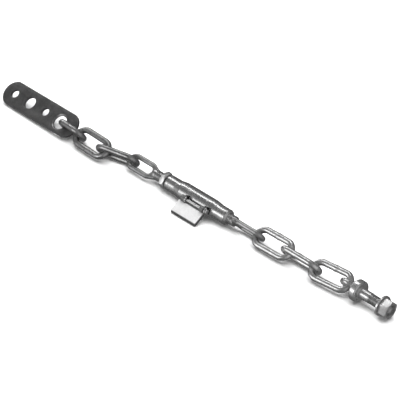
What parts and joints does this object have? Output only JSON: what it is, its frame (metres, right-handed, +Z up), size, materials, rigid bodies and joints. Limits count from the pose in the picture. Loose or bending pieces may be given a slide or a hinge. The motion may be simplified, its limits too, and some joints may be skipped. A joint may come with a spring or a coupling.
{
  "type": "tractor check chain turnbuckle",
  "caption": "Stabiliser chain for a tractor lift arm: a drilled flat anchor plate, oval links, a turnbuckle barrel with a hinged lock flap, and a screwed eye end with washer and nut.",
  "frame": {"origin": "on the ground under the middle of the laid-out chain", "axes": "+X along the chain from the anchor plate to the screwed end, +Y away from the side the lock flap hangs on, +Z up"},
  "size_m": [0.7939, 0.0598, 0.0341],
  "materials": {
    "plate_steel": "dull dark zinc over mill scale",
    "link_dark": "dull zinc plating, darkened in the bends",
    "link_bright": "bright zinc plating",
    "forged": "zinc-plated forging, slightly rough",
    "tube": "smooth zinc-plated tube",
    "sheet": "pale mottled zinc on pressed sheet",
    "fastener": "bright zinc plating"
  },
  "bodies": {
    "anchor_plate": {"anchor_plate": "plate_steel"},
    "short_link": {"short_link": "link_dark"},
    "left_link_1": {"left_link_1": "link_dark"},
    "left_link_2": {"left_link_2": "link_dark"},
    "left_eye_bolt": {"left_eye_bolt": "forged"},
    "lock_nut": {"lock_nut": "fastener"},
    "barrel": {"barrel": "tube", "flap_lugs": "sheet", "hinge_pin": "fastener"},
    "lock_flap": {"lock_flap": "sheet"},
    "right_eye_bolt": {"right_eye_bolt": "forged"},
    "right_link_1": {"right_link_1": "link_bright"},
    "right_link_2": {"right_link_2": "link_bright"},
    "right_link_3": {"right_link_3": "link_bright"},
    "end_eye_bolt": {"end_eye_bolt": "forged"},
    "flat_washer": {"flat_washer": "fastener"},
    "hex_nut": {"hex_nut": "fastener"}
  },
  "joints": [
    {"name": "lock_nut_slide", "type": "slide", "parent": "left_eye_bolt", "child": "lock_nut", "axis": [1, 0, 0], "range_m": [-0.0047, 0.0185]},
    {"name": "barrel_turn", "type": "hinge", "parent": "lock_nut", "child": "barrel", "pos_m": [0.02172, 0.0081, 0.014], "axis": [1, 0, 0], "range_deg": [-2880, 720]},
    {"name": "right_bolt_slide", "type": "slide", "parent": "lock_nut", "child": "right_eye_bolt", "axis": [1, 0, 0], "range_m": [-0.0046, 0.0184]},
    {"name": "flap_hinge", "type": "hinge", "parent": "barrel", "child": "lock_flap", "pos_m": [0.02172, -0.01012, 0.01974], "axis": [1, 0, 0], "range_deg": [-180, 30]},
    {"name": "left_link_2_swing", "type": "hinge", "parent": "left_eye_bolt", "child": "left_link_2", "pos_m": [-0.12378, 0.0081, 0.014], "axis": [0, 0.8192, 0.5736], "range_deg": [-45, 45]},
    {"name": "left_link_1_swing", "type": "hinge", "parent": "left_link_2", "child": "left_link_1", "pos_m": [-0.17486, -0.00844, 0.01595], "axis": [-0.1726, 0.5475, -0.8188], "range_deg": [-45, 45]},
    {"name": "short_link_swing", "type": "hinge", "parent": "left_link_1", "child": "short_link", "pos_m": [-0.22571, -0.00513, 0.0158], "axis": [0.0267, 0.8187, 0.5736], "range_deg": [-45, 45]},
    {"name": "plate_swing", "type": "hinge", "parent": "short_link", "child": "anchor_plate", "pos_m": [-0.26187, -0.00336, 0.0158], "axis": [0.0269, 0.5729, -0.8192], "range_deg": [-45, 45]},
    {"name": "right_link_1_swing", "type": "hinge", "parent": "right_eye_bolt", "child": "right_link_1", "pos_m": [0.15122, 0.0081, 0.014], "axis": [0, 0.5736, -0.8192], "range_deg": [-45, 45]},
    {"name": "right_link_2_swing", "type": "hinge", "parent": "right_link_1", "child": "right_link_2", "pos_m": [0.20601, 0.00885, 0.01589], "axis": [-0.0178, 0.819, 0.5735], "range_deg": [-45, 45]},
    {"name": "right_link_3_swing", "type": "hinge", "parent": "right_link_2", "child": "right_link_3", "pos_m": [0.26121, 0.0088, 0.0158], "axis": [0, 0.5736, -0.8192], "range_deg": [-45, 45]},
    {"name": "end_bolt_swing", "type": "hinge", "parent": "right_link_3", "child": "end_eye_bolt", "pos_m": [0.31615, 0.01427, 0.01711], "axis": [-0.0866, 0.8147, 0.5734], "range_deg": [-45, 45]},
    {"name": "nut_travel", "type": "slide", "parent": "end_eye_bolt", "child": "hex_nut", "axis": [0.9998, -0.0058, -0.0175], "range_m": [-0.018, 0.05]},
    {"name": "washer_travel", "type": "slide", "parent": "end_eye_bolt", "child": "flat_washer", "axis": [0.9998, -0.0058, -0.0175], "range_m": [-0.018, 0.05]}
  ],
  "couplings": [
    {"joint": "barrel_turn", "follows": "right_bolt_slide", "rad_per_m": -2721.1},
    {"joint": "lock_nut_slide", "follows": "right_bolt_slide", "ratio": 1},
    {"joint": "washer_travel", "follows": "nut_travel", "ratio": 1}
  ]
}
